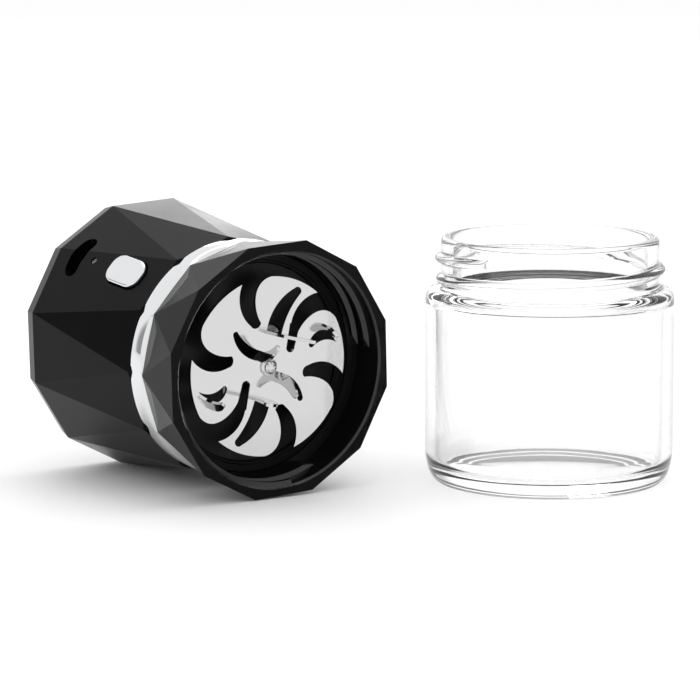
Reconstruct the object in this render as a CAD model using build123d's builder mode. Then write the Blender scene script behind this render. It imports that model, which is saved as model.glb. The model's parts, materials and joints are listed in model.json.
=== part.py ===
from build123d import *

import os
from math import asin, atan2, cos, radians, sin

# A battery herb grinder in two halves, at rest on a level surface. The twelve-sided motor head lies
# on its side, and the glass jar that screws into its mouth stands open beside it. Millimetres, +Z up.
# Stations are distances along the head's axis from its widest rim towards its mouth.

# ---------------------------------------------------------------- driving dimensions
SIDES = 12
HALF_SIDE = 180 / SIDES

REAR_RADIUS = 34.6  # over the corners of each rim
WAIST_RADIUS = 30.0
COLLAR_RADIUS = 29.4
MOUTH_RADIUS = 32.3
CAP_RADIUS = 33.4

CAP_BACK = -4.5  # stations
WAIST = 40.3
RING_END = 45.6
LENGTH = 62.3

RING_RADIUS = 29.5
BORE = 29.0

THREAD_PITCH = 5.08
COLLAR_CREST = 27.9

DECK_BACK = 46.4
DECK_TOP = 49.0
DECK_RADIUS = 27.5
GASKET_TOP = 50.3

SHAFT = 1.15
BUSH = 1.19
MOTOR = 12.2
MOTOR_WALL = 0.9
MOTOR_BACK = 18.4

BLADE_TOP = 56.6
BLADE_THICKNESS = 0.8
BLADE_RADIUS = 22.3

SLOT = (7.6, 11.8, 4.8)  # distance from the rear rim along the panel, length, width
LIGHT = (13.9, 0.9)  # distance, hole radius
BUTTON = (27.8, 12.3, 8.0, 3.4)  # distance, length, width, corner radius
BUTTON_PROUD = 1.0
BUTTON_GAP = 0.3
BOARD_DEPTH = 8.0

JAR_HEIGHT = 61.2
JAR_RADIUS = 31.05
NECK_RADIUS = 27.2
NECK_BOTTOM = 49.5
SHOULDER_BOTTOM = 45.2
JAR_WALL = 2.7
NECK_INSIDE = 24.3
JAR_THREAD = 28.7

# ---------------------------------------------------------------- where the two halves rest
JAR_PLACE = (49.9, -1.55)
HEAD_PLACE = (-51.7, 23.55)
HEAD_TURN = 34.3  # the mouth faces this far from the -Y side, towards +X
HEAD_ROLL = 2.9  # how far the head has rolled off its lowest flat
SWITCH_TURN = 135 + HEAD_ROLL  # from level to the corner that carries the switch

to_low_corner = cos(radians(HALF_SIDE - HEAD_ROLL))
lean = -asin((REAR_RADIUS - MOUTH_RADIUS) * to_low_corner / LENGTH)
turn = radians(HEAD_TURN)
spin_way = Vector(sin(turn) * cos(lean), -cos(turn) * cos(lean), sin(lean))
level_way = Vector(cos(turn), sin(turn), 0)
upright_way = spin_way.cross(level_way)
switch_turn = radians(SWITCH_TURN)
switch_way = level_way * cos(switch_turn) + upright_way * sin(switch_turn)
head_centre = Vector(*HEAD_PLACE, REAR_RADIUS * to_low_corner * cos(lean))

# HEAD: x towards the switch, z along the axis to the mouth. SIDE: x is radius, y is station.
HEAD = Plane(origin=head_centre, x_dir=switch_way, z_dir=spin_way)
SIDE = Plane(origin=head_centre, x_dir=switch_way, z_dir=-HEAD.y_dir)
LEVEL = Plane(origin=head_centre, x_dir=level_way, z_dir=spin_way)
SPIN = Axis(head_centre, spin_way)

# PANEL: the flat triangle that carries the switch, x from the rear corner towards the mouth.
slope = atan2(REAR_RADIUS - WAIST_RADIUS * cos(radians(HALF_SIDE)), WAIST)
PANEL = Plane(
    origin=head_centre + switch_way * REAR_RADIUS,
    x_dir=spin_way * cos(slope) - switch_way * sin(slope),
    z_dir=switch_way * cos(slope) + spin_way * sin(slope),
)


# ---------------------------------------------------------------- helpers
def turned(*outline, mode=Mode.ADD):
    """Revolve an outline of (radius, station) points about the head's axis."""
    with BuildSketch(SIDE) as profile:
        with BuildLine():
            Polyline(*outline, close=True)
        make_face()
    revolve(profile.sketch, axis=SPIN, mode=mode)


def polar(radius, angle):
    """A point by its radius and its angle in degrees."""
    return radius * cos(radians(angle)), radius * sin(radians(angle))


def rim(station, radius, rotation):
    """A twelve-sided rim across the head's axis."""
    with BuildSketch(HEAD.offset(station)) as outline:
        RegularPolygon(radius=radius, side_count=SIDES, rotation=rotation)
    return outline.sketch


def faceted_band(start, start_radius, end, end_radius, rotation=0):
    """Flat triangles, point up and point down in turn, between two rims half a side apart."""
    over_flat = 1 / cos(radians(HALF_SIDE))
    other = rotation + HALF_SIDE
    loft([rim(start, start_radius, rotation), rim(end, end_radius * over_flat, rotation)])
    loft(
        [rim(start, start_radius * over_flat, other), rim(end, end_radius, other)],
        mode=Mode.INTERSECT,
    )


def panel_block(distance, across, length, width, bottom, top, mode=Mode.ADD):
    """A box square to the switch panel, its top and bottom as heights over the panel."""
    with BuildSketch(PANEL.offset(bottom)) as outline:
        with Locations((distance, across)):
            Rectangle(length, width)
    extrude(outline.sketch, amount=top - bottom, mode=mode)


def panel_round(distance, across, radius, bottom, top, mode=Mode.ADD):
    """A round peg or hole square to the switch panel."""
    with BuildSketch(PANEL.offset(bottom)) as outline:
        with Locations((distance, across)):
            Circle(radius)
    extrude(outline.sketch, amount=top - bottom, mode=mode)


def panel_slab(distance, length, width, corner, bottom, top, mode=Mode.ADD):
    """A rounded rectangle square to the switch panel."""
    with BuildSketch(PANEL.offset(bottom)) as outline:
        with Locations((distance, 0)):
            RectangleRounded(length, width, corner)
    extrude(outline.sketch, amount=top - bottom, mode=mode)


def panel_slot(distance, length, width, bottom, top, mode=Mode.ADD):
    """An obround that lies across the switch panel."""
    with BuildSketch(PANEL.offset(bottom)) as outline:
        with Locations((distance, 0)):
            SlotOverall(length, width, rotation=90)
    extrude(outline.sketch, amount=top - bottom, mode=mode)


def pegs(radius, ring_radius, count, start_angle, bottom, top, mode=Mode.ADD):
    """Round pegs or holes in a ring about the head's axis."""
    with BuildSketch(HEAD.offset(bottom)) as outline:
        with PolarLocations(ring_radius, count, start_angle=start_angle):
            Circle(radius)
    extrude(outline.sketch, amount=top - bottom, mode=mode)


def wire_run(points, bend, radius):
    """A round lead through points given as head x, y and station."""
    places = [HEAD.from_local_coords(Vector(*point)) for point in points]
    with BuildLine() as route:
        FilletPolyline(*places, radius=bend)
    start = Plane(origin=route.line @ 0, z_dir=route.line % 0)
    with BuildSketch(start) as section:
        Circle(radius)
    sweep(section.sketch, path=route.line)


def keep(piece, name):
    """Label a finished piece and write its STEP file."""
    piece.part.label = name
    export_step(piece.part, f"parts/{name}.step")


os.makedirs("parts", exist_ok=True)

# ---------------------------------------------------------------- housing shell
CAVITY_REAR = 30.9
CAVITY_WAIST = 26.7
SPIGOT_DEPTH = 3.0
POST_RING = 26.0
POST_START = -1.7
POST_END = 14.0
CORNER_TRIM = 29.7
BOARD_POSTS = ((18.8, 6.2), (18.8, -6.2), (34.5, 6.6))
PANEL_WALL = 1.8

with BuildPart() as housing_shell:
    faceted_band(0, REAR_RADIUS, WAIST, WAIST_RADIUS)
    # the corners at the waist are turned down to meet the round ring
    turned(
        (0, -1), (40, -1), (40, WAIST - 40 + CORNER_TRIM), (CORNER_TRIM, WAIST), (0, WAIST),
        mode=Mode.INTERSECT,
    )
    turned(
        (0, 0), (31.2, 0), (31.2, SPIGOT_DEPTH), (CAVITY_REAR, SPIGOT_DEPTH),
        (CAVITY_WAIST, WAIST), (0, WAIST),
        mode=Mode.SUBTRACT,
    )
    pegs(2.6, POST_RING, 4, 45, POST_START, POST_END)
    with BuildSketch(HEAD.offset(SPIGOT_DEPTH + 0.3)) as webs:
        with PolarLocations(POST_RING + 2.9, 4, start_angle=45):
            Rectangle(5.0, 1.8)
    extrude(webs.sketch, amount=POST_END - SPIGOT_DEPTH - 0.3)
    for distance, across in BOARD_POSTS:
        panel_round(distance, across, 1.9, -BOARD_DEPTH, -PANEL_WALL)
    for across in (8.0, -8.0):
        with BuildSketch(HEAD.offset(12)) as rail:
            with Locations((-25.8, across)):
                Rectangle(4.8, 1.6)
        extrude(rail.sketch, amount=18)
    pegs(0.85, POST_RING, 4, 45, POST_START, 10, mode=Mode.SUBTRACT)
    for distance, across in BOARD_POSTS:
        panel_round(distance, across, 0.7, -BOARD_DEPTH, -3.5, mode=Mode.SUBTRACT)
    panel_slot(*SLOT, -5, 1, mode=Mode.SUBTRACT)
    panel_round(LIGHT[0], 0, LIGHT[1], -6, 1, mode=Mode.SUBTRACT)
    panel_slab(
        BUTTON[0], BUTTON[1] + 2 * BUTTON_GAP, BUTTON[2] + 2 * BUTTON_GAP, BUTTON[3] + BUTTON_GAP,
        -6, 1, mode=Mode.SUBTRACT,
    )
keep(housing_shell, "housing_shell")

# ---------------------------------------------------------------- end cap and rear pad
PAD_RADIUS = 28.6
PAD_SEAT = CAP_BACK + 0.8
PAD_PROUD = 0.2
CAP_FLOOR = -1.8
HEAD_SEAT = PAD_SEAT + 1.0

with BuildPart() as end_cap:
    loft([rim(CAP_BACK, CAP_RADIUS, 0), rim(0, REAR_RADIUS, 0)])
    turned((29.2, 0), (31.0, 0), (31.0, SPIGOT_DEPTH - 0.2), (29.2, SPIGOT_DEPTH - 0.2))
    turned((0, CAP_FLOOR), (29.2, CAP_FLOOR), (29.2, 5), (0, 5), mode=Mode.SUBTRACT)
    turned((0, CAP_BACK - 1), (PAD_RADIUS + 0.1, CAP_BACK - 1), (PAD_RADIUS + 0.1, PAD_SEAT),
           (0, PAD_SEAT), mode=Mode.SUBTRACT)
    pegs(1.2, POST_RING, 4, 45, CAP_BACK, CAP_FLOOR, mode=Mode.SUBTRACT)
    pegs(2.3, POST_RING, 4, 45, CAP_BACK, HEAD_SEAT, mode=Mode.SUBTRACT)
keep(end_cap, "end_cap")

with BuildPart() as rear_pad:
    turned((0, CAP_BACK - PAD_PROUD), (PAD_RADIUS - 0.4, CAP_BACK - PAD_PROUD),
           (PAD_RADIUS, CAP_BACK + 0.2), (PAD_RADIUS, PAD_SEAT), (0, PAD_SEAT))
keep(rear_pad, "rear_pad")

with BuildPart() as cap_screws:
    pegs(2.1, POST_RING, 4, 45, PAD_SEAT + 0.05, HEAD_SEAT)
    pegs(0.85, POST_RING, 4, 45, HEAD_SEAT, 8)
    pegs(0.7, POST_RING, 4, 45, PAD_SEAT + 0.05, PAD_SEAT + 0.55, mode=Mode.SUBTRACT)
keep(cap_screws, "cap_screws")

# ---------------------------------------------------------------- trim ring
SLEEVE = 27.6
RING_EDGE = 0.35

with BuildPart() as trim_ring:
    turned(
        (SLEEVE + 0.05, WAIST), (RING_RADIUS - RING_EDGE, WAIST), (RING_RADIUS, WAIST + RING_EDGE),
        (RING_RADIUS, RING_END - RING_EDGE), (RING_RADIUS - RING_EDGE, RING_END),
        (SLEEVE + 0.05, RING_END),
    )
keep(trim_ring, "trim_ring")

# ---------------------------------------------------------------- mouth collar with its thread
THREAD_START = 51.2
THREAD_RISE = 9.6
THREAD_ROOT = 1.4  # half the width of the ridge at the wall
THREAD_TIP = 0.6
SPIGOT_END = 37.5
FLANGE_BACK = 44.6
FLANGE_BORE = 19.5
SCREW_RING = 22.2
PARTING = 193.6  # the mould leaves the thread out on two opposite sides, to these angles either way
WALL_BREAK = 33.5
CREST_BREAK = 38.5

with BuildPart() as thread_form:
    with BuildLine() as thread_path:
        Helix(pitch=THREAD_PITCH, height=THREAD_RISE, radius=BORE)
    with BuildSketch(Plane(origin=(BORE, 0, 0), x_dir=(1, 0, 0), z_dir=thread_path.line % 0)):
        with BuildLine():
            Polyline(
                (0.5, -THREAD_ROOT), (0.5, THREAD_ROOT), (COLLAR_CREST - BORE, THREAD_TIP),
                (COLLAR_CREST - BORE, -THREAD_TIP), close=True,
            )
        make_face()
    sweep(path=thread_path.line, is_frenet=True)

with BuildPart() as mouth_collar:
    faceted_band(RING_END, COLLAR_RADIUS, LENGTH, MOUTH_RADIUS, rotation=HALF_SIDE)
    turned((0, SPIGOT_END), (26.3, SPIGOT_END), (26.3, WAIST), (SLEEVE, WAIST), (SLEEVE, RING_END),
           (0, RING_END))
    turned(
        (0, SPIGOT_END), (24.6, SPIGOT_END), (24.6, FLANGE_BACK), (FLANGE_BORE, FLANGE_BACK),
        (FLANGE_BORE, DECK_BACK), (DECK_RADIUS + 0.05, DECK_BACK), (DECK_RADIUS + 0.05, GASKET_TOP),
        (BORE, GASKET_TOP + 2.0), (BORE, LENGTH - 0.5), (BORE + 0.5, LENGTH), (0, LENGTH),
        mode=Mode.SUBTRACT,
    )
    add(HEAD.offset(THREAD_START).location * Rot(0, 0, 180) * thread_form.part)
    with BuildSketch(HEAD.offset(GASKET_TOP + 0.01)) as broken:
        for side in (PARTING, PARTING + 180):
            with BuildLine():
                first = Line(polar(COLLAR_CREST, side - CREST_BREAK), polar(BORE, side - WALL_BREAK))
                wall = ThreePointArc(first @ 1, polar(BORE, side), polar(BORE, side + WALL_BREAK))
                last = Line(wall @ 1, polar(COLLAR_CREST, side + CREST_BREAK))
                Polyline(last @ 1, (0, 0), first @ 0)
            make_face()
    extrude(broken.sketch, amount=LENGTH - GASKET_TOP, mode=Mode.SUBTRACT)
    pegs(1.1, SCREW_RING, 3, 60, FLANGE_BACK, DECK_BACK, mode=Mode.SUBTRACT)
keep(mouth_collar, "mouth_collar")

# ---------------------------------------------------------------- motor deck, gasket and seal
HUB_TOP = 50.8
SEAL_RADIUS = 4.2
SEAL_BACK = 48.2
MOTOR_SCREW_RING = 8.5

with BuildPart() as motor_deck:
    turned(
        (3.3, DECK_BACK), (DECK_RADIUS, DECK_BACK), (DECK_RADIUS, DECK_TOP), (7.0, DECK_TOP),
        (6.4, HUB_TOP), (SEAL_RADIUS, HUB_TOP), (SEAL_RADIUS, SEAL_BACK), (3.3, SEAL_BACK),
    )
    pegs(1.3, MOTOR_SCREW_RING, 2, 90, DECK_BACK, DECK_TOP, mode=Mode.SUBTRACT)
    pegs(2.6, MOTOR_SCREW_RING, 2, 90, 47.4, DECK_TOP + 1, mode=Mode.SUBTRACT)
    pegs(0.8, SCREW_RING, 3, 60, DECK_BACK, DECK_TOP - 0.6, mode=Mode.SUBTRACT)
keep(motor_deck, "motor_deck")

with BuildPart() as jar_gasket:
    turned(
        (24.6, DECK_TOP), (DECK_RADIUS, DECK_TOP), (DECK_RADIUS, GASKET_TOP - 0.3),
        (DECK_RADIUS - 0.3, GASKET_TOP), (25.6, GASKET_TOP), (25.3, GASKET_TOP - 0.3),
        (24.9, GASKET_TOP - 0.3), (24.6, GASKET_TOP - 0.6),
    )
keep(jar_gasket, "jar_gasket")

with BuildPart() as shaft_seal:
    turned(
        (2.6, SEAL_BACK), (SEAL_RADIUS, SEAL_BACK), (SEAL_RADIUS, HUB_TOP - 0.1),
        (2.0, HUB_TOP - 0.1), (BUSH + 0.04, HUB_TOP - 0.5), (BUSH + 0.04, HUB_TOP - 0.9),
        (2.6, SEAL_BACK + 1.0),
    )
keep(shaft_seal, "shaft_seal")

with BuildPart() as deck_screws:
    pegs(1.9, SCREW_RING, 3, 60, FLANGE_BACK - 1.3, FLANGE_BACK)
    pegs(0.8, SCREW_RING, 3, 60, FLANGE_BACK, DECK_TOP - 0.8)
keep(deck_screws, "deck_screws")

# ---------------------------------------------------------------- motor
CAN_INSIDE = MOTOR - MOTOR_WALL
BELL_BACK = 16.6

with BuildPart() as motor_can:
    turned(
        (CAN_INSIDE, MOTOR_BACK), (MOTOR, MOTOR_BACK), (MOTOR, DECK_BACK - 0.8),
        (MOTOR - 0.8, DECK_BACK), (3.0, DECK_BACK), (3.0, DECK_BACK - 1.0),
        (CAN_INSIDE, DECK_BACK - 1.0),
    )
    pegs(1.25, MOTOR_SCREW_RING, 2, 90, DECK_BACK - 1.0, DECK_BACK, mode=Mode.SUBTRACT)
keep(motor_can, "motor_can")

with BuildPart() as motor_screws:
    pegs(2.3, MOTOR_SCREW_RING, 2, 90, 47.4, DECK_TOP - 0.2)
    pegs(1.25, MOTOR_SCREW_RING, 2, 90, 44.6, 47.4)
    with BuildSketch(HEAD.offset(DECK_TOP - 0.2)) as crosses:
        with PolarLocations(MOTOR_SCREW_RING, 2, start_angle=90):
            Rectangle(2.4, 0.6)
            Rectangle(0.6, 2.4)
    extrude(crosses.sketch, amount=-0.7, mode=Mode.SUBTRACT)
keep(motor_screws, "motor_screws")

with BuildPart() as motor_front_bush:
    turned((BUSH, 44.4), (3.0, 44.4), (3.0, 47.8), (BUSH, 47.8))
keep(motor_front_bush, "motor_front_bush")

with BuildPart() as motor_rear_bush:
    turned((BUSH, 15.6), (2.6, 15.6), (2.6, 18.8), (BUSH, 18.8))
keep(motor_rear_bush, "motor_rear_bush")

with BuildPart() as motor_end_bell:
    turned(
        (2.6, BELL_BACK), (MOTOR, BELL_BACK), (MOTOR, MOTOR_BACK), (CAN_INSIDE, MOTOR_BACK),
        (CAN_INSIDE, 21.0), (10.2, 21.0), (10.2, 18.8), (2.6, 18.8),
    )
keep(motor_end_bell, "motor_end_bell")

with BuildPart() as motor_magnets:
    with BuildSketch(HEAD.offset(23)):
        Circle(CAN_INSIDE)
        Circle(9.7, mode=Mode.SUBTRACT)
        Rectangle(40, 6.5, mode=Mode.SUBTRACT)
    extrude(amount=21)
keep(motor_magnets, "motor_magnets")

with BuildPart() as motor_brushes:
    with BuildSketch(SIDE.offset(-1.1)):
        with BuildLine():
            Polyline((2.45, 20.4), (2.45, 22.4), (8.4, 22.4), (8.4, 18.8), (7.4, 18.8), (7.4, 20.4),
                     close=True)
        make_face()
        mirror(about=Plane.YZ)
    extrude(amount=2.2)
keep(motor_brushes, "motor_brushes")

with BuildPart() as motor_terminals:
    with BuildSketch(HEAD.offset(12.8)):
        with Locations((7.9, 0), (-7.9, 0)):
            Rectangle(0.6, 2.8)
    extrude(amount=BELL_BACK - 12.8)
keep(motor_terminals, "motor_terminals")

# ---------------------------------------------------------------- rotor
CORE_RADIUS = 9.3
CORE_START = 25.5
CORE_END = 40.0

with BuildPart() as motor_shaft:
    turned((0, 14.6), (SHAFT - 0.2, 14.6), (SHAFT, 14.8), (SHAFT, BLADE_TOP), (0, BLADE_TOP))
keep(motor_shaft, "motor_shaft")

with BuildPart() as armature_core:
    with BuildSketch(HEAD.offset(CORE_START)):
        Circle(CORE_RADIUS)
        Circle(CORE_RADIUS - 1.5, mode=Mode.SUBTRACT)
        with PolarLocations(CORE_RADIUS - 1, 3, start_angle=30):
            Rectangle(4, 2.6, mode=Mode.SUBTRACT)
        Circle(3.6)
        with PolarLocations(5.2, 3, start_angle=90):
            Rectangle(6.0, 3.2)
        Circle(SHAFT, mode=Mode.SUBTRACT)
    extrude(amount=CORE_END - CORE_START)
keep(armature_core, "armature_core")

with BuildPart() as armature_windings:
    with BuildSketch(HEAD.offset(CORE_START - 1.6)):
        with PolarLocations(5.55, 3, start_angle=90):
            RectangleRounded(3.2, 6.8, 1.2)
    extrude(amount=CORE_END - CORE_START + 3.2)
    with BuildSketch(HEAD.offset(CORE_START)) as teeth:
        with PolarLocations(5.55, 3, start_angle=90):
            Rectangle(4.0, 3.2)
    extrude(teeth.sketch, amount=CORE_END - CORE_START, mode=Mode.SUBTRACT)
keep(armature_windings, "armature_windings")

with BuildPart() as commutator:
    with BuildSketch(HEAD.offset(19.4)):
        Circle(2.2)
        Circle(SHAFT, mode=Mode.SUBTRACT)
        with PolarLocations(2.2, 3, start_angle=30):
            Rectangle(1.0, 0.35, mode=Mode.SUBTRACT)
    extrude(amount=4.0)
keep(commutator, "commutator")

with BuildPart() as drive_hub:
    turned(
        (SHAFT, 51.2), (3.4, 51.2), (3.4, 53.0), (2.8, 53.6), (4.4, 55.0),
        (4.4, BLADE_TOP - BLADE_THICKNESS), (SHAFT, BLADE_TOP - BLADE_THICKNESS),
    )
keep(drive_hub, "drive_hub")

with BuildPart() as hub_cap:
    with BuildSketch(SIDE):
        with BuildLine():
            dome = TangentArc((0, BLADE_TOP + 2.1), (1.6, BLADE_TOP + 1.3), tangent=(1, 0))
            Polyline(dome @ 1, (1.6, BLADE_TOP + 0.8), (2.2, BLADE_TOP + 0.5), (2.2, BLADE_TOP),
                     (0, BLADE_TOP), dome @ 0)
        make_face()
    revolve(axis=SPIN)
keep(hub_cap, "hub_cap")

# ---------------------------------------------------------------- blade
# Each slot is cut on three sides, and its tongue is bent up about the fourth as a tooth. The pairs
# are opposite each other. Points are in LEVEL's x and y.
INNER_TOOTH = {
    "foot": ((-2.8, 1.7), (-1.9, 4.0)),
    "far": ((-8.8, 8.9), (-9.8, 9.4), (-10.3, 8.5)),
    "sides": ((-5.6, 5.7), (-7.0, 3.4)),
    "bend": 78,
}
MIDDLE_TOOTH = {
    "foot": ((-0.6, 9.0), (3.8, 8.1)),
    "far": ((9.3, 17.6), (9.0, 18.8), (7.4, 18.9)),
    "sides": ((5.6, 12.7), (2.1, 15.0)),
    "bend": 90,
}
OUTER_TOOTH = {
    "foot": ((20.0, 4.4), (17.8, 7.3)),
    "far": ((11.9, 4.8), (12.2, 3.8), (13.0, 3.8)),
    "sides": ((14.4, 7.6), (17.0, 5.3)),
    "bend": 75,
}


def tooth_outline(tooth, facing, station):
    """The slot of a tooth as a flat sketch, with its hinge, on one side of the blade or the other."""
    plane = Plane(head_centre, x_dir=level_way * facing, z_dir=spin_way).offset(station)
    first, last = tooth["foot"]
    with BuildSketch(plane) as outline:
        with BuildLine():
            foot = Line(first, last)
            side_a = ThreePointArc(last, tooth["sides"][0], tooth["far"][0])
            end = ThreePointArc(*tooth["far"])
            side_b = ThreePointArc(tooth["far"][2], tooth["sides"][1], first)
        make_face()
    hinge_start = plane.from_local_coords(Vector(*first, 0))
    hinge_end = plane.from_local_coords(Vector(*last, 0))
    return outline.sketch, Axis(hinge_start, hinge_end - hinge_start)


# six gaps leave six comma-shaped petals
with BuildSketch() as petal_gap:
    with BuildLine():
        hollow = ThreePointArc((-7.9, 20.9), (-8.5, 15.8), (-5.2, 10.4))
        root = ThreePointArc(hollow @ 1, (-3.3, 9.8), (-2.3, 11.0))
        back = Spline(root @ 1, (-3.7, 14.2), (-3.6, 19.0), (1.6, 22.4))
        Polyline(back @ 1, (1.6, 25), (-8.2, 25), hollow @ 0)
    make_face()

# two of the gaps run further in
with BuildSketch() as petal_notch:
    with BuildLine():
        left = Line((6.2, 10.4), (5.2, 4.2))
        end = ThreePointArc(left @ 1, (6.5, 3.0), (7.6, 4.3))
        right = Line(end @ 1, (8.8, 8.6))
        Line(right @ 1, left @ 0)
    make_face()

with BuildPart() as turbine_blade:
    with BuildSketch(LEVEL.offset(BLADE_TOP - BLADE_THICKNESS)) as plate:
        Circle(BLADE_RADIUS)
        for step in range(6):
            add(petal_gap.sketch, rotation=60 * step, mode=Mode.SUBTRACT)
        for step in range(2):
            add(petal_notch.sketch, rotation=180 * step, mode=Mode.SUBTRACT)
        Circle(SHAFT, mode=Mode.SUBTRACT)
    extrude(plate.sketch, amount=BLADE_THICKNESS)
    teeth = [
        (tooth["bend"], *tooth_outline(tooth, facing, BLADE_TOP - BLADE_THICKNESS))
        for facing in (1, -1)
        for tooth in (INNER_TOOTH, MIDDLE_TOOTH, OUTER_TOOTH)
    ]
    for bend, slot, hinge in teeth:
        extrude(slot, amount=BLADE_THICKNESS, mode=Mode.SUBTRACT)
    for bend, slot, hinge in teeth:
        extrude(slot.rotate(hinge, bend), amount=BLADE_THICKNESS)
keep(turbine_blade, "turbine_blade")

# ---------------------------------------------------------------- battery
CELL_FRONT = -14.2  # the flat cell lies beside the motor, away from the switch
CELL = (8.0, 21.0, 28.0)
CELL_START = 7.5

with BuildPart() as battery_cell:
    with BuildSketch(HEAD.offset(CELL_START)):
        with Locations((CELL_FRONT - CELL[0] / 2, 0)):
            RectangleRounded(CELL[0], CELL[1], 2.5)
    extrude(amount=CELL[2])
keep(battery_cell, "battery_cell")

with BuildPart() as battery_cradle:
    with BuildSketch(HEAD.offset(CELL_START)):
        with Locations((CELL_FRONT - CELL[0] / 2, 0)):
            Rectangle(CELL[0] + 1.8, CELL[1] + 2.0)
            RectangleRounded(CELL[0], CELL[1], 2.5, mode=Mode.SUBTRACT)
        with Locations((CELL_FRONT, 0)):
            Rectangle(4.0, CELL[1] - 5, mode=Mode.SUBTRACT)
    extrude(amount=CELL[2])
    with BuildSketch(HEAD.offset(CELL_START + CELL[2])) as front_wall:
        with Locations((CELL_FRONT - CELL[0] / 2, 0)):
            Rectangle(CELL[0] + 1.8, CELL[1] + 2.0)
    extrude(front_wall.sketch, amount=1.0)
keep(battery_cradle, "battery_cradle")

# ---------------------------------------------------------------- circuit board and what it carries
BOARD = (20.5, 35.5, 17.0, 1.0)  # middle along the panel, length, width, thickness
BOARD_BACK = -BOARD_DEPTH - BOARD[3]
BACK_PARTS = (
    (13.0, -4.8, 5.0, 4.0, 1.4),
    (13.0, 5.2, 3.0, 3.0, 1.1),
    (20.5, 0.0, 6.2, 6.2, 2.4),
    (27.0, -5.0, 3.6, 2.6, 1.0),
    (27.0, 4.6, 4.4, 3.6, 1.5),
    (32.5, -5.0, 2.0, 1.2, 0.8),
    (32.5, -1.5, 2.0, 1.2, 0.8),
)
CHIPS = ((13.9, 5.0, 1.6, 0.8, 0.6), (17.5, 0, 2.0, 1.2, 0.7), (22.0, 5.5, 1.6, 0.8, 0.6))

with BuildPart() as circuit_board:
    panel_slab(BOARD[0], BOARD[1], BOARD[2], 1.5, BOARD_BACK, -BOARD_DEPTH)
    for distance, across in BOARD_POSTS:
        panel_round(distance, across, 0.9, BOARD_BACK - 1, 0, mode=Mode.SUBTRACT)
keep(circuit_board, "circuit_board")

with BuildPart() as board_components:
    for distance, across, length, width, height in BACK_PARTS:
        panel_block(distance, across, length, width, BOARD_BACK - height, BOARD_BACK)
    for distance, across, length, width, height in CHIPS:
        panel_block(distance, across, length, width, -BOARD_DEPTH, height - BOARD_DEPTH)
keep(board_components, "board_components")

with BuildPart() as board_screws:
    for distance, across in BOARD_POSTS:
        panel_round(distance, across, 1.6, BOARD_BACK - 1.0, BOARD_BACK)
        panel_round(distance, across, 0.7, BOARD_BACK, -4.0)
keep(board_screws, "board_screws")

RECEPTACLE_TOP = -3.7

with BuildPart() as usb_receptacle:
    panel_slot(SLOT[0], 8.94, 3.26, -BOARD_DEPTH, RECEPTACLE_TOP)
    panel_slot(SLOT[0], 8.34, 2.66, -BOARD_DEPTH + 0.6, 0, mode=Mode.SUBTRACT)
keep(usb_receptacle, "usb_receptacle")

with BuildPart() as usb_tongue:
    panel_block(SLOT[0], 0, 0.7, 6.7, -BOARD_DEPTH + 0.6, RECEPTACLE_TOP - 0.7)
keep(usb_tongue, "usb_tongue")

with BuildPart() as charge_light:
    panel_block(LIGHT[0], 0, 0.8, 1.6, -BOARD_DEPTH, -BOARD_DEPTH + 0.6)
keep(charge_light, "charge_light")

with BuildPart() as light_pipe:
    panel_round(LIGHT[0], 0, LIGHT[1] - 0.03, -BOARD_DEPTH + 0.7, -0.5)
    panel_round(LIGHT[0], 0, 1.6, -5.0, -4.0)
keep(light_pipe, "light_pipe")

SWITCH_TOP = -5.9

with BuildPart() as tact_switch:
    panel_block(BUTTON[0], 0, 6.2, 6.2, -BOARD_DEPTH, SWITCH_TOP)
    panel_round(BUTTON[0], 0, 1.85, -7.6, 0, mode=Mode.SUBTRACT)
keep(tact_switch, "tact_switch")

# ---------------------------------------------------------------- power button
FLANGE_TOP = -3.4
FLANGE_BOTTOM = -4.2

with BuildPart() as power_button:
    panel_slab(*BUTTON, FLANGE_TOP, BUTTON_PROUD)
    fillet(power_button.faces().sort_by(Axis(PANEL.origin, PANEL.z_dir))[-1].edges(), 0.35)
    panel_slab(BUTTON[0], BUTTON[1] + 1.6, BUTTON[2] + 1.6, BUTTON[3] + 0.8, FLANGE_BOTTOM, FLANGE_TOP)
keep(power_button, "power_button")

with BuildPart() as switch_plunger:
    panel_round(BUTTON[0], 0, 1.5, -6.6, FLANGE_BOTTOM)
keep(switch_plunger, "switch_plunger")

# ---------------------------------------------------------------- leads
LEAD = 0.6

with BuildPart() as battery_leads:
    for across in (-3.0, 3.0):
        wire_run(((-18.2, across, CELL_START), (-18.2, across, 3.8), (24.8, across, 3.8)), 3.5, LEAD)
keep(battery_leads, "battery_leads")

with BuildPart() as motor_leads:
    wire_run(((7.9, 0, 12.8), (7.9, 0, 7.5), (24.25, 0, 7.5)), 3.5, LEAD)
    wire_run(((-7.9, 0, 12.8), (-7.9, 0, 6.9), (24.3, 6.5, 6.9)), 3.5, LEAD)
keep(motor_leads, "motor_leads")

# ---------------------------------------------------------------- glass jar
BASE_THICKNESS = 3.4
INSIDE = JAR_RADIUS - JAR_WALL
JAR_THREAD_END = 56.6  # height of its upper end
JAR_THREAD_TURNS = 1.22
JAR_THREAD_FROM = -37  # that end's angle round from the -Y side, towards +X
JAR_THREAD_HALF = 1.2  # half the ridge's width
THREAD_SINK = 0.4
PUSH_UP = 1.5
HEEL_TOP = 8.5
FOOT = (26.0, 28.0)  # inner and outer radius of the ring it stands on

JAR = Plane(origin=(*JAR_PLACE, 0))
JAR_SIDE = Plane(origin=(*JAR_PLACE, 0), x_dir=(1, 0, 0), z_dir=(0, -1, 0))
thread_start_angle = JAR_THREAD_FROM - 90 - 360 * JAR_THREAD_TURNS

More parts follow.
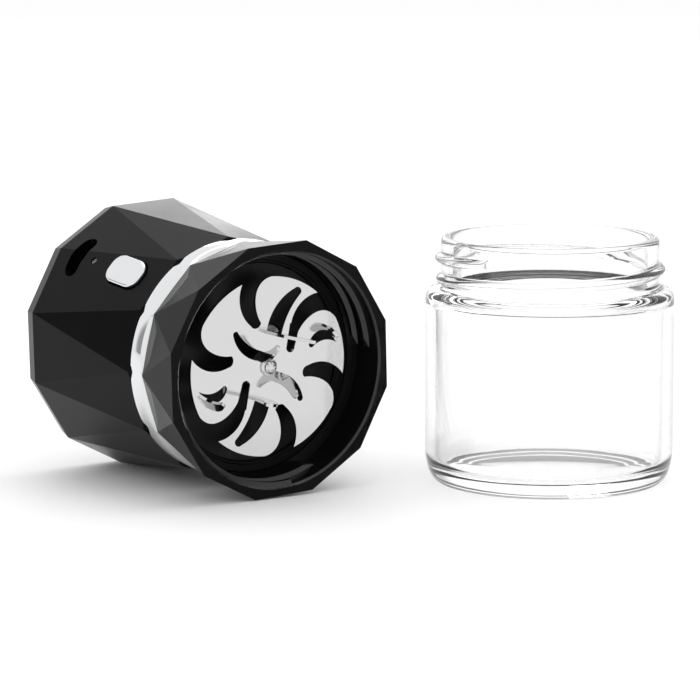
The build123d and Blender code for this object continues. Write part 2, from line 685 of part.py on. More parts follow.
with BuildPart() as jar_thread_form:
    with BuildLine() as jar_thread_path:
        Helix(pitch=THREAD_PITCH, height=JAR_THREAD_TURNS * THREAD_PITCH, radius=NECK_RADIUS)
    with BuildSketch(
        Plane(origin=(NECK_RADIUS, 0, 0), x_dir=(1, 0, 0), z_dir=jar_thread_path.line % 0)
    ):
        with BuildLine():
            lower = Line((-THREAD_SINK, -JAR_THREAD_HALF), (0.2, -JAR_THREAD_HALF))
            crest = ThreePointArc(lower @ 1, (JAR_THREAD - NECK_RADIUS, 0), (0.2, JAR_THREAD_HALF))
            upper = Line(crest @ 1, (-THREAD_SINK, JAR_THREAD_HALF))
            Line(upper @ 1, lower @ 0)
        make_face()
    sweep(path=jar_thread_path.line, is_frenet=True)

with BuildPart() as glass_jar:
    with BuildSketch(JAR_SIDE):
        with BuildLine():
            dome = TangentArc((0, PUSH_UP), (FOOT[0], 0), tangent=(1, 0))
            foot = Line(dome @ 1, (FOOT[1], 0))
            heel_side = TangentArc((JAR_RADIUS, HEEL_TOP), (30.35, 3.6), tangent=(0, -1))
            TangentArc(heel_side @ 1, foot @ 1, tangent=heel_side % 1)
            body = Line(heel_side @ 0, (JAR_RADIUS, SHOULDER_BOTTOM))
            turn_in = ThreePointArc(body @ 1, (29.9, 47.9), (NECK_RADIUS, NECK_BOTTOM))
            neck = Line(turn_in @ 1, (NECK_RADIUS, JAR_HEIGHT - 1.2))
            lip = ThreePointArc(neck @ 1, (NECK_RADIUS - 0.35, JAR_HEIGHT - 0.35),
                                (NECK_RADIUS - 1.2, JAR_HEIGHT))
            top = Line(lip @ 1, (NECK_INSIDE + 1.2, JAR_HEIGHT))
            inner_lip = ThreePointArc(top @ 1, (NECK_INSIDE + 0.35, JAR_HEIGHT - 0.35),
                                      (NECK_INSIDE, JAR_HEIGHT - 1.2))
            throat = Line(inner_lip @ 1, (NECK_INSIDE, 47.6))
            inner_turn = ThreePointArc(throat @ 1, (27.0, 45.8), (INSIDE, 42.6))
            wall = Line(inner_turn @ 1, (INSIDE, BASE_THICKNESS + 4.0))
            corner = ThreePointArc(wall @ 1, (INSIDE - 1.2, BASE_THICKNESS + 1.2),
                                   (INSIDE - 4.0, BASE_THICKNESS))
            floor = TangentArc((0, BASE_THICKNESS + 0.7), corner @ 1, tangent=(1, 0))
            Line(floor @ 0, dome @ 0)
        make_face()
    revolve(axis=Axis((*JAR_PLACE, 0), (0, 0, 1)))
    lowest = JAR_THREAD_END - JAR_THREAD_TURNS * THREAD_PITCH
    add(JAR.offset(lowest).location * Rot(0, 0, thread_start_angle) * jar_thread_form.part)
keep(glass_jar, "glass_jar")
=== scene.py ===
import json
import math

import bmesh
import bpy
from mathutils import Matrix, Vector


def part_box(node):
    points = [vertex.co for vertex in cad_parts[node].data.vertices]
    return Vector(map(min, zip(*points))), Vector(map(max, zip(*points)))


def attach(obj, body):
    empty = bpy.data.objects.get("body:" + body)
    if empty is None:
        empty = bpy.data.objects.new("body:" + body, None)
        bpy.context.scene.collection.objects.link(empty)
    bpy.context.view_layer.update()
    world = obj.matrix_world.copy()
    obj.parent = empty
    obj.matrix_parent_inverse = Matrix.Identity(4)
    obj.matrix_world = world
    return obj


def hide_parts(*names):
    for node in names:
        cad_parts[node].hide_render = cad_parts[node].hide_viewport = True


# Looks for a battery herb grinder: the motor head on its side and the open glass jar beside it.
# Metres, +Z up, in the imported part's own frame.

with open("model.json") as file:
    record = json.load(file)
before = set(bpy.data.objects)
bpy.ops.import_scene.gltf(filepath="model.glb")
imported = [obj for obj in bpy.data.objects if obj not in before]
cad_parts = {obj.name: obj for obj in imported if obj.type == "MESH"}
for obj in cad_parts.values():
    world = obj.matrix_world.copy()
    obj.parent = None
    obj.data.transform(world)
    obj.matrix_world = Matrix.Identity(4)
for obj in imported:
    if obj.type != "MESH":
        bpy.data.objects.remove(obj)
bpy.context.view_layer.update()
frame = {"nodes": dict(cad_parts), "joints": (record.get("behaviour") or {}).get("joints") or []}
nodes = frame["nodes"]
joints = {joint["name"]: joint for joint in frame["joints"]}

SPIN_AXIS = Vector(joints["blade_spin"]["axis"]).normalized()
SPIN_POINT = Vector(joints["blade_spin"]["pos_m"])

MM = 0.001

# ---------------------------------------------------------------- camera
CAMERA_PLACE = (0.15 * MM, -973.35 * MM, 180.2 * MM)
CAMERA_PITCH = 8.637  # degrees below level
CAMERA_LENS = 202.5
SENSOR_WIDTH = 36.0
NEAREST = 0.01
FARTHEST = 50.0

scene = bpy.context.scene
camera_data = bpy.data.cameras.new("camera")
camera_data.lens = CAMERA_LENS
camera_data.sensor_width = SENSOR_WIDTH
camera_data.clip_start = NEAREST
camera_data.clip_end = FARTHEST
camera = bpy.data.objects.new("camera", camera_data)
camera.location = CAMERA_PLACE
camera.rotation_euler = (math.radians(90 - CAMERA_PITCH), 0, 0)
scene.collection.objects.link(camera)
scene.camera = camera

scene.view_settings.view_transform = "Standard"
scene.view_settings.look = "None"
scene.view_settings.exposure = 0.0
scene.view_settings.gamma = 1.0


# ---------------------------------------------------------------- materials
def shader(name, colour, roughness, metallic=0.0, **sockets):
    """A Principled material with its plain values on the sockets."""
    material = bpy.data.materials.new(name)
    material.use_nodes = True
    node = material.node_tree.nodes["Principled BSDF"]
    node.inputs["Base Color"].default_value = (*colour, 1.0)
    node.inputs["Roughness"].default_value = roughness
    node.inputs["Metallic"].default_value = metallic
    for socket, value in sockets.items():
        node.inputs[socket.replace("_", " ")].default_value = value
    return material


def add(material, kind, **inputs):
    """A node with plain input values."""
    node = material.node_tree.nodes.new(kind)
    for name, value in inputs.items():
        node.inputs[name.replace("_", " ")].default_value = value
    return node


def link(material, out_node, out_socket, in_node, in_socket):
    material.node_tree.links.new(out_node.outputs[out_socket], in_node.inputs[in_socket])


def surface(material):
    return material.node_tree.nodes["Principled BSDF"]


def coordinates(material):
    found = material.node_tree.nodes.get("Texture Coordinate")
    return found or material.node_tree.nodes.new("ShaderNodeTexCoord")


def noise(material, scale, detail=3.0, roughness=0.5):
    """A noise texture that is fixed to the object."""
    node = add(material, "ShaderNodeTexNoise", Scale=scale, Detail=detail, Roughness=roughness)
    link(material, coordinates(material), "Object", node, "Vector")
    return node


def ramp(material, source, socket, stops):
    """A colour ramp through stops of (position, colour)."""
    node = material.node_tree.nodes.new("ShaderNodeValToRGB")
    elements = node.color_ramp.elements
    while len(elements) < len(stops):
        elements.new(0.5)
    for element, (position, colour) in zip(elements, stops):
        element.position = position
        element.color = (*colour, 1.0) if len(colour) == 3 else colour
    link(material, source, socket, node, "Fac")
    return node


def grey(value):
    return (value, value, value)


def bump(material, source, socket, strength, distance):
    """A bump over any that the material has already."""
    node = add(material, "ShaderNodeBump", Strength=strength, Distance=distance)
    link(material, source, socket, node, "Height")
    below = surface(material).inputs["Normal"]
    if below.is_linked:
        material.node_tree.links.new(below.links[0].from_socket, node.inputs["Normal"])
    link(material, node, "Normal", surface(material), "Normal")


def grain(material, scale, strength, distance):
    """A fine moulded texture."""
    bump(material, noise(material, scale, 4.0, 0.6), "Fac", strength, distance)


def uneven_gloss(material, scale, low, high):
    """Roughness that drifts between two values."""
    drift = noise(material, scale, 3.0, 0.55)
    levels = ramp(material, drift, "Fac", ((0.3, grey(low)), (0.7, grey(high))))
    link(material, levels, "Color", surface(material), "Roughness")


def paint(node, material):
    """One material all over a CAD node."""
    data = nodes[node].data
    data.materials.clear()
    data.materials.append(material)
    for polygon in data.polygons:
        polygon.material_index = 0


def waves(material, scale, distortion=0.0, across=None):
    """Even ridges, one after another along +X or along a given way."""
    node = add(material, "ShaderNodeTexWave", Scale=scale, Distortion=distortion)
    if across is None:
        link(material, coordinates(material), "Object", node, "Vector")
        return node
    turned = add(material, "ShaderNodeMapping")
    turned.vector_type = "TEXTURE"
    turned.inputs["Rotation"].default_value = Vector((1, 0, 0)).rotation_difference(across).to_euler()
    link(material, coordinates(material), "Object", turned, "Vector")
    link(material, turned, "Vector", node, "Vector")
    return node


def mottled(material, scale, dark, light):
    """A base colour that drifts between two tones."""
    drift = noise(material, scale, 4.0, 0.6)
    tones = ramp(material, drift, "Fac", ((0.35, dark), (0.65, light)))
    link(material, tones, "Color", surface(material), "Base Color")


black = shader("black_abs", (0.0012, 0.0012, 0.0014), 0.23, IOR=1.19)
uneven_gloss(black, 60.0, 0.2, 0.27)
grain(black, 5200.0, 0.05, 0.00003)

# the bore is bare moulded plastic, glossier than the coated outside
bore_black = shader("bore_abs", (0.003, 0.003, 0.0033), 0.2, IOR=1.5)
uneven_gloss(bore_black, 140.0, 0.16, 0.26)
grain(bore_black, 3600.0, 0.06, 0.00003)

black_inner = shader("black_inner", (0.004, 0.004, 0.0044), 0.45, IOR=1.3)
uneven_gloss(black_inner, 90.0, 0.36, 0.5)
grain(black_inner, 4200.0, 0.12, 0.00004)

rubber = shader("black_rubber", (0.012, 0.012, 0.0125), 0.62)
uneven_gloss(rubber, 120.0, 0.5, 0.7)
grain(rubber, 7000.0, 0.25, 0.00005)

seal_rubber = shader("seal_rubber", (0.002, 0.002, 0.0022), 0.5, IOR=1.25)
uneven_gloss(seal_rubber, 150.0, 0.4, 0.6)
grain(seal_rubber, 6000.0, 0.15, 0.00004)

chrome = shader("chrome", (0.74, 0.745, 0.755), 0.06, 1.0)
uneven_gloss(chrome, 180.0, 0.04, 0.09)

blade_steel = shader("blade_steel", (0.62, 0.62, 0.625), 0.09, 1.0)
uneven_gloss(blade_steel, 220.0, 0.06, 0.13)

steel = shader("plain_steel", (0.56, 0.56, 0.57), 0.3, 1.0)
uneven_gloss(steel, 400.0, 0.22, 0.38)

zinc = shader("zinc_plate", (0.5, 0.51, 0.52), 0.3, 1.0)
mottled(zinc, 700.0, (0.42, 0.43, 0.44), (0.56, 0.57, 0.58))
uneven_gloss(zinc, 300.0, 0.22, 0.4)

shaft_steel = shader("ground_steel", (0.6, 0.6, 0.61), 0.16, 1.0)
uneven_gloss(shaft_steel, 600.0, 0.1, 0.22)

laminations = shader("core_laminations", (0.2, 0.21, 0.23), 0.42, 0.9)
uneven_gloss(laminations, 500.0, 0.32, 0.52)
bump(laminations, waves(laminations, 900.0, across=SPIN_AXIS), "Fac", 0.6, 0.00006)

copper = shader("enamelled_copper", (0.5, 0.17, 0.06), 0.28, 0.85, Coat_Weight=0.5)
mottled(copper, 900.0, (0.42, 0.12, 0.04), (0.62, 0.24, 0.09))
bump(copper, waves(copper, 1100.0, 1.5), "Fac", 0.7, 0.00008)

bare_copper = shader("commutator_copper", (0.62, 0.27, 0.13), 0.25, 1.0)
uneven_gloss(bare_copper, 500.0, 0.16, 0.36)
mottled(bare_copper, 800.0, (0.5, 0.2, 0.09), (0.7, 0.33, 0.17))

brass = shader("brass", (0.7, 0.5, 0.2), 0.25, 1.0)
uneven_gloss(brass, 450.0, 0.18, 0.34)
mottled(brass, 600.0, (0.62, 0.42, 0.15), (0.78, 0.57, 0.26))

bronze = shader("sintered_bronze", (0.42, 0.26, 0.12), 0.5, 0.9)
mottled(bronze, 2600.0, (0.24, 0.14, 0.06), (0.5, 0.32, 0.15))
grain(bronze, 3000.0, 0.4, 0.00005)

carbon = shader("brush_carbon", (0.02, 0.02, 0.022), 0.55)
mottled(carbon, 2200.0, (0.012, 0.012, 0.013), (0.05, 0.048, 0.046))
grain(carbon, 3500.0, 0.3, 0.00004)

ferrite = shader("ferrite", (0.035, 0.036, 0.04), 0.48)
mottled(ferrite, 1500.0, (0.022, 0.023, 0.026), (0.06, 0.061, 0.066))
grain(ferrite, 4200.0, 0.35, 0.00004)

foil = shader("cell_foil", (0.55, 0.56, 0.58), 0.36, 0.9)
uneven_gloss(foil, 90.0, 0.26, 0.46)
bump(foil, noise(foil, 160.0, 3.0, 0.5), "Fac", 0.35, 0.0002)

solder_mask = shader("solder_mask", (0.012, 0.13, 0.045), 0.3, Coat_Weight=0.4)
mottled(solder_mask, 700.0, (0.008, 0.09, 0.03), (0.02, 0.17, 0.06))
uneven_gloss(solder_mask, 500.0, 0.22, 0.4)

chips = shader("chip_epoxy", (0.018, 0.018, 0.02), 0.5)
mottled(chips, 1800.0, (0.012, 0.012, 0.013), (0.035, 0.035, 0.037))
grain(chips, 6000.0, 0.3, 0.00003)

red_wire = shader("wire_red", (0.42, 0.02, 0.015), 0.36)
mottled(red_wire, 500.0, (0.34, 0.014, 0.01), (0.5, 0.035, 0.025))
uneven_gloss(red_wire, 400.0, 0.28, 0.46)

lens = shader("light_pipe_clear", (0.9, 0.92, 0.93), 0.08, IOR=1.49, Transmission_Weight=0.85)
uneven_gloss(lens, 400.0, 0.04, 0.14)

light_chip = shader("light_chip", (0.75, 0.7, 0.45), 0.35, Coat_Weight=0.5)
mottled(light_chip, 1200.0, (0.7, 0.62, 0.3), (0.82, 0.79, 0.6))

switch_plastic = shader("switch_nylon", (0.03, 0.03, 0.032), 0.42)
mottled(switch_plastic, 900.0, (0.02, 0.02, 0.022), (0.05, 0.05, 0.052))


# ---------------------------------------------------------------- glass
SHOULDER_HEIGHT = 47.2 * MM
SHOULDER_REACH = (4.5 * MM, 2.8 * MM)  # clearing starts and is full at these heights off the shoulder
FLOOR_REACH = (16.0 * MM, 12.0 * MM)  # the same for the jar's floor
LEVEL = (0.8, 0.97)  # upright part of a level face's normal, where clearing starts and is full

glass = shader("clear_glass", (1.0, 1.0, 1.0), 0.0, IOR=1.5, Transmission_Weight=1.0)


def glass_range(source, socket, limits, top):
    """Zero at the first limit of a socket's value, rising to the top at the second."""
    node = add(glass, "ShaderNodeMapRange", From_Min=limits[0], From_Max=limits[1], To_Max=top)
    link(glass, source, socket, node, "Value")
    return node


def glass_math(operation, source, socket, other=0.0):
    """One sum on a socket and a number."""
    node = add(glass, "ShaderNodeMath")
    node.operation = operation
    link(glass, source, socket, node, 0)
    node.inputs[1].default_value = other
    return node


def glass_parts(kind):
    """The x, y and z of one of the texture coordinates."""
    parts = add(glass, "ShaderNodeSeparateXYZ")
    link(glass, coordinates(glass), kind, parts, "Vector")
    return parts


def paint_glass_edge_shade():
    """Painted shade: the base colour of upright walls and the rim darkens towards their edges,
    standing in for the dark outlines that clear glass shows there. The shoulder and the floor stay
    clear.
    """
    facing = add(glass, "ShaderNodeLayerWeight", Blend=0.5)
    # painted shade: the ramp greys the glass's base colour towards grazing angles
    painted_edge_shade = ramp(glass, facing, "Facing", ((0.0, grey(1.0)), (0.5, grey(0.99)), (0.7, grey(0.84)),
                                          (0.84, grey(0.48)), (1.0, grey(0.14))))
    place = glass_parts("Object")
    off_shoulder = glass_math("ABSOLUTE", glass_math("SUBTRACT", place, "Z", SHOULDER_HEIGHT), "Value")
    at_shoulder = glass_range(off_shoulder, "Value", SHOULDER_REACH, 0.85)
    level = glass_range(glass_math("ABSOLUTE", glass_parts("Normal"), "Z"), "Value", LEVEL, 0.8)
    at_floor = glass_math("MULTIPLY", level, "Result")
    link(glass, glass_range(place, "Z", FLOOR_REACH, 1.0), "Result", at_floor, 1)
    clear_part = glass_math("MAXIMUM", at_shoulder, "Result")
    link(glass, at_floor, "Value", clear_part, 1)
    cleared = add(glass, "ShaderNodeMix")
    cleared.data_type = "RGBA"
    factor, edge_shade_input, clear, mixed = 0, 6, 7, 2  # the colour mix's sockets
    link(glass, clear_part, "Value", cleared, factor)
    link(glass, painted_edge_shade, "Color", cleared, edge_shade_input)
    cleared.inputs[clear].default_value = (1.0, 1.0, 1.0, 1.0)
    link(glass, cleared, mixed, surface(glass), "Base Color")


paint_glass_edge_shade()

# ---------------------------------------------------------------- which node looks like what
LOOKS = (
    (black, "housing_shell end_cap mouth_collar"),
    (black_inner, "motor_deck drive_hub motor_end_bell battery_cradle usb_tongue"),
    (rubber, "rear_pad motor_leads"),
    (seal_rubber, "jar_gasket shaft_seal"),
    (chrome, "trim_ring power_button"),
    (blade_steel, "turbine_blade hub_cap"),
    (zinc, "motor_can usb_receptacle"),
    (steel, "motor_screws deck_screws board_screws cap_screws"),
    (shaft_steel, "motor_shaft"),
    (laminations, "armature_core"),
    (copper, "armature_windings"),
    (bare_copper, "commutator"),
    (brass, "motor_terminals"),
    (bronze, "motor_front_bush motor_rear_bush"),
    (carbon, "motor_brushes"),
    (ferrite, "motor_magnets"),
    (foil, "battery_cell"),
    (solder_mask, "circuit_board"),
    (chips, "board_components"),
    (red_wire, "battery_leads"),
    (lens, "light_pipe"),
    (light_chip, "charge_light"),
    (switch_plastic, "tact_switch switch_plunger"),
    (glass, "glass_jar"),
)
painted = set()
for look, names in LOOKS:
    for name in names.split():
        paint(name, look)
        painted.add(name)
assert painted == set(nodes), set(nodes) ^ painted


def station_and_radius(point):
    """Where a point is along the head's axis, from the blade's joint, and how far out."""
    offset = point - SPIN_POINT
    along = offset.dot(SPIN_AXIS)
    return along, (offset - SPIN_AXIS * along).length


# the collar's bore shows bare plastic
BORE_RADIUS = 29.35 * MM
collar_data = nodes["mouth_collar"].data
collar_data.materials.append(bore_black)
for polygon in collar_data.polygons:
    if station_and_radius(polygon.center)[1] < BORE_RADIUS:
        polygon.material_index = 1
nodes["glass_jar"].visible_shadow = False


# ---------------------------------------------------------------- outlines
def arc(centre, radius, start, end, steps):
    """Points on an arc, by angles in degrees from the +radius direction."""
    points = []
    for step in range(steps + 1):
        angle = math.radians(start + (end - start) * step / steps)
        points.append((centre[0] + radius * math.cos(angle), centre[1] + radius * math.sin(angle)))
    return points


def curve(start, control, end, steps):
    """Points on a quadratic curve."""
    points = []
    for step in range(steps + 1):
        t = step / steps
        a, b, c = (1 - t) ** 2, 2 * t * (1 - t), t * t
        x, y = (a * first + b * middle + c * last for first, middle, last in zip(start, control, end))
        points.append((x, y))
    return points


def straight(start, end, steps):
    return curve(start, ((start[0] + end[0]) / 2, (start[1] + end[1]) / 2), end, steps)


# ---------------------------------------------------------------- softened copies of CAD nodes
WELD = 0.002 * MM
SLIVER = 0.001 * MM
FLAT_WITHIN = math.radians(0.15)


def softened(node, name, body, material, width, least_angle):
    """A copy of a CAD node with its sharp edges rounded. It takes the node's place."""
    data = nodes[node].data.copy()
    data.name = name
    data.materials.clear()
    data.materials.append(material)
    if data.has_custom_normals:
        data.attributes.remove(data.attributes["custom_normal"])
    mesh = bmesh.new()
    mesh.from_mesh(data)
    bmesh.ops.remove_doubles(mesh, verts=mesh.verts, dist=WELD)
    bmesh.ops.dissolve_degenerate(mesh, dist=SLIVER, edges=mesh.edges)
    bmesh.ops.dissolve_limit(mesh, angle_limit=FLAT_WITHIN, verts=mesh.verts, edges=mesh.edges)
    for face in mesh.faces:
        face.smooth = True
    limit = math.radians(least_angle)
    for edge in mesh.edges:
        edge.smooth = not (edge.is_manifold and edge.calc_face_angle(0.0) > limit)
    mesh.to_mesh(data)
    mesh.free()
    piece = bpy.data.objects.new(name, data)
    scene.collection.objects.link(piece)
    bevel = piece.modifiers.new("edges", "BEVEL")
    bevel.limit_method = "ANGLE"
    bevel.angle_limit = limit
    bevel.width = width * MM
    bevel.segments = 2
    bevel.use_clamp_overlap = True
    bevel.harden_normals = True
    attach(piece, body)
    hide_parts(node)


softened("housing_shell", "housing_facets", "grinder_head", black, 0.25, 7.0)
softened("end_cap", "end_cap_rim", "grinder_head", black, 0.3, 12.0)
softened("turbine_blade", "blade_disc", "rotor", blade_steel, 0.12, 30.0)


# ---------------------------------------------------------------- helpers for pieces made here
PRESS_AXIS = -Vector(joints["button_press"]["axis"]).normalized()  # out of the switch panel
SWITCH_WAY = (PRESS_AXIS - SPIN_AXIS * PRESS_AXIS.dot(SPIN_AXIS)).normalized()
BESIDE_WAY = SPIN_AXIS.cross(SWITCH_WAY)


def smooth_piece(name, mesh, body, node, material):
    """Turn a bmesh into the smooth-shaded piece that takes a CAD node's place."""
    bmesh.ops.recalc_face_normals(mesh, faces=mesh.faces)
    data = bpy.data.meshes.new(name)
    mesh.to_mesh(data)
    mesh.free()
    for polygon in data.polygons:
        polygon.use_smooth = True
    data.materials.append(material)
    piece = bpy.data.objects.new(name, data)
    scene.collection.objects.link(piece)
    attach(piece, body)
    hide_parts(node)
    return piece


def skin(mesh, rings, closed=False):
    """Quads between neighbouring rings of vertices, round to the first ring if closed."""
    count = len(rings[0])
    pairs = list(zip(rings, rings[1:])) + ([(rings[-1], rings[0])] if closed else [])
    for lower, upper in pairs:
        for step in range(count):
            after = (step + 1) % count
            mesh.faces.new((lower[step], lower[after], upper[after], upper[step]))


# ---------------------------------------------------------------- chrome ring
RING_AROUND = 360
BACK_EDGE = ((0.0, 0.3), (0.05, 0.14), (0.14, 0.04), (0.3, 0.0))  # millimetres forward and inward
COLLAR_FLAT = 28.42  # radius over the flats where the collar meets the ring
COLLAR_SIDE = 30  # degrees per flat
ROLL_LENGTH = 1.0  # the front edge rolls down to the collar's flats over this length
ROLL_STEPS = 8
ROLL_POWER = 1.6
FLAT_OVERLAP = 0.02


def ring_reach(angle, radius, rolled):
    """The ring's radius at an angle, drawn down by a share of the way to the collar's flat."""
    off_flat = (angle + COLLAR_SIDE / 2) % COLLAR_SIDE - COLLAR_SIDE / 2
    flat = COLLAR_FLAT / math.cos(math.radians(off_flat)) + FLAT_OVERLAP
    return radius + (min(flat, radius) - radius) * rolled


def build_ring():
    """A band within the CAD ring's limits. Its cross-section is (station, radius, share rolled)."""
    corners = [vertex.co for vertex in nodes["trim_ring"].data.vertices]
    places = [station_and_radius(corner) for corner in corners]
    back = min(place[0] for place in places) / MM
    front = max(place[0] for place in places) / MM
    inside = min(place[1] for place in places) / MM
    outside = max(place[1] for place in places) / MM
    profile = [(back, inside, 0.0)]
    for forward, inward in BACK_EDGE:
        profile.append((back + forward, outside - inward, 0.0))
    profile.append((front - ROLL_LENGTH, outside, 0.0))
    for step in range(1, ROLL_STEPS + 1):
        part = step / ROLL_STEPS
        profile.append((front - ROLL_LENGTH * (1 - part), outside, part ** ROLL_POWER))
    profile.append((front, inside, 0.0))
    mesh = bmesh.new()
    rings = []
    for station, radius, rolled in profile:
        ring = []
        for step in range(RING_AROUND):
            angle = 360.0 * step / RING_AROUND
            reach = ring_reach(angle, radius, rolled)
            turn = math.radians(angle)
            way = SWITCH_WAY * math.cos(turn) + BESIDE_WAY * math.sin(turn)
            ring.append(mesh.verts.new(SPIN_POINT + SPIN_AXIS * (station * MM) + way * (reach * MM)))
        rings.append(ring)
    skin(mesh, rings, closed=True)
    smooth_piece("trim_band", mesh, "grinder_head", "trim_ring", chrome)


build_ring()

# ---------------------------------------------------------------- chrome button with a crowned top
BUTTON_LENGTH = 12.3
BUTTON_WIDTH = 8.0
BUTTON_CORNER = 3.4
BUTTON_CROWN = 0.35  # the face's drop from its middle to its edge
BUTTON_EDGE = 0.55
BUTTON_LIFT = 0.55  # the cap's top above the CAD button's
BUTTON_DEPTH = 4.3
BUTTON_STEPS = 8  # rows across the crowned face
BUTTON_STEP = 0.33
LEAST_CORNER = 0.35
FACE_WITHIN = 0.02 * MM


def rounded_outline(length, width, corner, steps):
    """Points round a rounded rectangle."""
    points = []
    for quarter in range(4):
        side_x = (1, -1, -1, 1)[quarter]
        side_y = (1, 1, -1, -1)[quarter]
        middle = (side_x * (length / 2 - corner), side_y * (width / 2 - corner))
        points += arc(middle, corner, 90 * quarter, 90 * quarter + 90, steps)
    return points


def build_button():
    """A cap with a rolled edge and a slightly crowned face, from the housing's skin up."""
    corners = [vertex.co for vertex in nodes["power_button"].data.vertices]
    top = max(corner.dot(PRESS_AXIS) for corner in corners)
    face = [corner for corner in corners if corner.dot(PRESS_AXIS) > top - FACE_WITHIN]
    middle = sum(face, Vector()) / len(face) + PRESS_AXIS * (BUTTON_LIFT * MM)
    along = (SPIN_AXIS - PRESS_AXIS * SPIN_AXIS.dot(PRESS_AXIS)).normalized()
    across = PRESS_AXIS.cross(along)
    rows = [(0.0, -BUTTON_DEPTH), (0.0, -BUTTON_EDGE)]
    for turn in (15, 30, 45, 60, 75, 90):
        rolled = math.radians(turn)
        rows.append((BUTTON_EDGE * (1 - math.cos(rolled)), BUTTON_EDGE * (math.sin(rolled) - 1)))
    rows += [(BUTTON_EDGE + step * BUTTON_STEP, 0.0) for step in range(1, BUTTON_STEPS + 1)]
    mesh = bmesh.new()
    rings = []
    for inset, height in rows:
        on_face = height > -BUTTON_EDGE - 0.01
        corner = max(BUTTON_CORNER - inset, LEAST_CORNER)
        ring = []
        for x, y in rounded_outline(BUTTON_LENGTH - 2 * inset, BUTTON_WIDTH - 2 * inset, corner, 12):
            reach = max(abs(x) / (BUTTON_LENGTH / 2), abs(y) / (BUTTON_WIDTH / 2))
            drop = BUTTON_CROWN * min(1.0, reach) ** 2 if on_face else BUTTON_CROWN
            place = middle + along * (x * MM) + across * (y * MM) + PRESS_AXIS * ((height - drop) * MM)
            ring.append(mesh.verts.new(place))
        rings.append(ring)
    skin(mesh, rings)
    mesh.faces.new(rings[-1])
    mesh.faces.new(list(reversed(rings[0])))
    bmesh.ops.remove_doubles(mesh, verts=mesh.verts, dist=SLIVER)
    smooth_piece("button_cap", mesh, "button", "power_button", chrome)


build_button()

# ---------------------------------------------------------------- glass jar
JAR_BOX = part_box("glass_jar")
JAR_X = (JAR_BOX[0].x + JAR_BOX[1].x) / 2
JAR_Y = (JAR_BOX[0].y + JAR_BOX[1].y) / 2
AROUND = 384
THREAD_PITCH = 5.08
THREAD_TOP = 56.6  # height of the thread's upper end
THREAD_FROM = -37.0  # that end's angle round from -Y, towards +X
THREAD_SWEEP = 440.0  # degrees
THREAD_HALF = 1.3
THREAD_STANDS = 1.5
THREAD_START = 14.0  # degrees in which its upper end rises
THREAD_FADE = 45.0  # degrees in which its lower end fades out
THREAD_POWER = 0.8  # rounding of the ridge
THREAD_LIMIT = 59.0  # no thread over this height

# the outline's radii and heights
JAR_TOP = 61.2
LIP = 1.2
NECK = 27.2
NECK_INSIDE = 24.3
NECK_BOTTOM = 49.8
BODY = 31.05
BODY_INSIDE = 28.35
SHOULDER = 45.2
HEEL = 8.5
FLOOR_TOP = 4.1
PUSH_UP = 1.5
MIDDLE = 0.05  # a pinhole, so that the skin has no zero-length edges
LIP_BOTTOM = JAR_TOP - LIP
NEAR = 0.001  # two radii this close are the same


def thread_height(angle, height):
    """How far the thread stands out of the neck at an angle round from -Y and a height."""
    best = 0.0
    for whole in range(3):
        travelled = (THREAD_FROM - angle) % 360.0 + 360.0 * whole
        if travelled > THREAD_SWEEP:
            continue
        middle = THREAD_TOP - THREAD_PITCH * travelled / 360.0
        across = abs(height - middle) / THREAD_HALF
        if across >= 1.0:
            continue
        start = min(1.0, travelled / THREAD_START)
        end = min(1.0, (THREAD_SWEEP - travelled) / THREAD_FADE)
        size = math.sqrt(1.0 - (1.0 - start) ** 2) * math.sin(end * math.pi / 2)
        best = max(best, size * (1.0 - across ** 2) ** THREAD_POWER)
    return best * THREAD_STANDS


def jar_outline():
    """The jar's cross-section from the middle underneath, up the outside and down the inside."""
    outline = curve((MIDDLE, PUSH_UP), (14.0, PUSH_UP), (26.0, 0.0), 16)
    outline += straight((26.0, 0.0), (28.0, 0.0), 3)[1:]
    outline += curve((28.0, 0.0), (29.8, 1.1), (30.4, 3.8), 10)[1:]
    outline += curve((30.4, 3.8), (31.0, 6.2), (BODY, HEEL), 8)[1:]
    outline += straight((BODY, HEEL), (BODY, SHOULDER), 10)[1:]
    outline += curve((BODY, SHOULDER), (BODY, 47.6), (29.4, 48.5), 12)[1:]
    outline += curve((29.4, 48.5), (27.6, 49.1), (NECK, NECK_BOTTOM), 8)[1:]
    outline += straight((NECK, NECK_BOTTOM), (NECK, LIP_BOTTOM), 72)[1:]
    outline += arc((NECK - LIP, LIP_BOTTOM), LIP, 0, 90, 8)[1:]
    outline += straight((NECK - LIP, JAR_TOP), (NECK_INSIDE + LIP, JAR_TOP), 1)[1:]
    outline += arc((NECK_INSIDE + LIP, LIP_BOTTOM), LIP, 90, 180, 8)[1:]
    outline += straight((NECK_INSIDE, LIP_BOTTOM), (NECK_INSIDE, 49.2), 6)[1:]
    outline += curve((NECK_INSIDE, 49.2), (NECK_INSIDE, 46.9), (26.4, 46.25), 12)[1:]
    outline += curve((26.4, 46.25), (28.3, 45.8), (BODY_INSIDE, 44.2), 12)[1:]
    outline += straight((BODY_INSIDE, 44.2), (BODY_INSIDE, 7.6), 10)[1:]
    outline += curve((BODY_INSIDE, 7.6), (28.2, 3.7), (24.0, 3.5), 14)[1:]
    outline += curve((24.0, 3.5), (12.0, FLOOR_TOP), (MIDDLE, FLOOR_TOP), 14)[1:]
    return outline


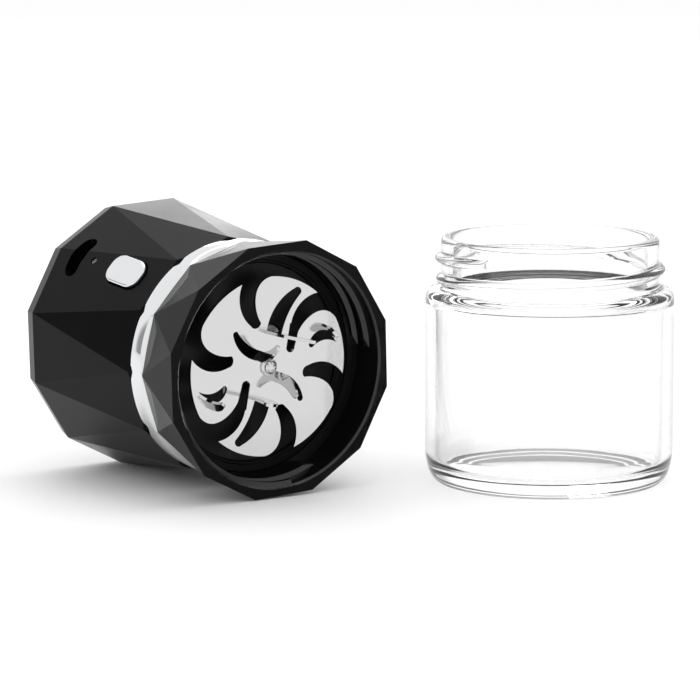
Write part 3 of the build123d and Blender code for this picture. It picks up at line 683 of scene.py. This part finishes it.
def build_jar():
    """The outline turned round the jar's axis, with the thread pushed out of the neck."""
    mesh = bmesh.new()
    rings = []
    for radius, height in jar_outline():
        on_neck = abs(radius - NECK) < NEAR and height < THREAD_LIMIT
        ring = []
        for step in range(AROUND):
            angle = 360.0 * step / AROUND
            reach = radius + (thread_height(angle, height) if on_neck else 0.0)
            turn = math.radians(angle)
            ring.append(mesh.verts.new((JAR_X + reach * math.sin(turn) * MM,
                                        JAR_Y - reach * math.cos(turn) * MM, height * MM)))
        rings.append(ring)
    skin(mesh, rings)
    mesh.faces.new(list(reversed(rings[0])))
    mesh.faces.new(rings[-1])
    jar = smooth_piece("jar_glass", mesh, "jar", "glass_jar", glass)
    jar.visible_shadow = False


build_jar()

# ---------------------------------------------------------------- floor, light and surroundings
FLOOR_RADIUS = 6.0
FLOOR_DROP = 0.2 * MM
SKY_STRENGTH = 1.05
SIDE_SHADE = 0.68  # taken off in a low patch on either side

bpy.ops.mesh.primitive_circle_add(vertices=128, radius=FLOOR_RADIUS, fill_type="NGON",
                                  location=(0, 0, -FLOOR_DROP))
floor = bpy.context.object
floor.name = "floor"
floor.data.materials.append(shader("floor_white", (0.93, 0.93, 0.93), 0.75))

world = bpy.data.worlds.new("studio")
scene.world = world
world.use_nodes = True
sky = world.node_tree


def sky_patch(direction, outer, inner):
    """One inside a round patch of the surroundings and zero outside, by the cosine from its middle."""
    place = sky.nodes.new("ShaderNodeTexCoord")
    cosine = sky.nodes.new("ShaderNodeVectorMath")
    cosine.operation = "DOT_PRODUCT"
    cosine.inputs[1].default_value = Vector(direction).normalized()
    sky.links.new(place.outputs["Generated"], cosine.inputs[0])
    fade = sky.nodes.new("ShaderNodeMapRange")
    fade.interpolation_type = "SMOOTHSTEP"
    fade.inputs["From Min"].default_value = outer
    fade.inputs["From Max"].default_value = inner
    sky.links.new(cosine.outputs["Value"], fade.inputs["Value"])
    return fade.outputs["Result"]


def shaded(strength, patch):
    """A strength, as a number or a socket, with the side shade taken off inside a patch."""
    node = sky.nodes.new("ShaderNodeMath")
    node.operation = "MULTIPLY_ADD"
    sky.links.new(patch, node.inputs[0])
    node.inputs[1].default_value = -SIDE_SHADE
    if isinstance(strength, float):
        node.inputs[2].default_value = strength
    else:
        sky.links.new(strength, node.inputs[2])
    return node.outputs[0]


on_left = sky_patch((-1.0, 0.12, 0.08), outer=0.93, inner=0.985)
on_right = sky_patch((0.97, 0.2, 0.1), outer=0.84, inner=0.95)
strength = shaded(shaded(SKY_STRENGTH, on_left), on_right)
background = sky.nodes["Background"]
background.inputs["Color"].default_value = (1.0, 1.0, 1.0, 1.0)
sky.links.new(strength, background.inputs["Strength"])


def softbox(name, place, aim, width, height, power):
    """A rectangular lamp at one point that faces another."""
    data = bpy.data.lights.new(name, "AREA")
    data.shape = "RECTANGLE"
    data.size = width
    data.size_y = height
    data.energy = power
    lamp = bpy.data.objects.new(name, data)
    lamp.location = place
    lamp.rotation_euler = (Vector(aim) - Vector(place)).to_track_quat("-Z", "Y").to_euler()
    scene.collection.objects.link(lamp)


softbox("overhead", (0.1, 0.35, 1.3), (0, 0, 0), width=1.4, height=1.0, power=5.0)
# a bright panel behind the head, which its top facets mirror at a low angle
softbox("behind_head", (-0.06, 0.56, 0.23), (-0.05, 0.03, 0.06), width=0.15, height=0.22, power=0.2)
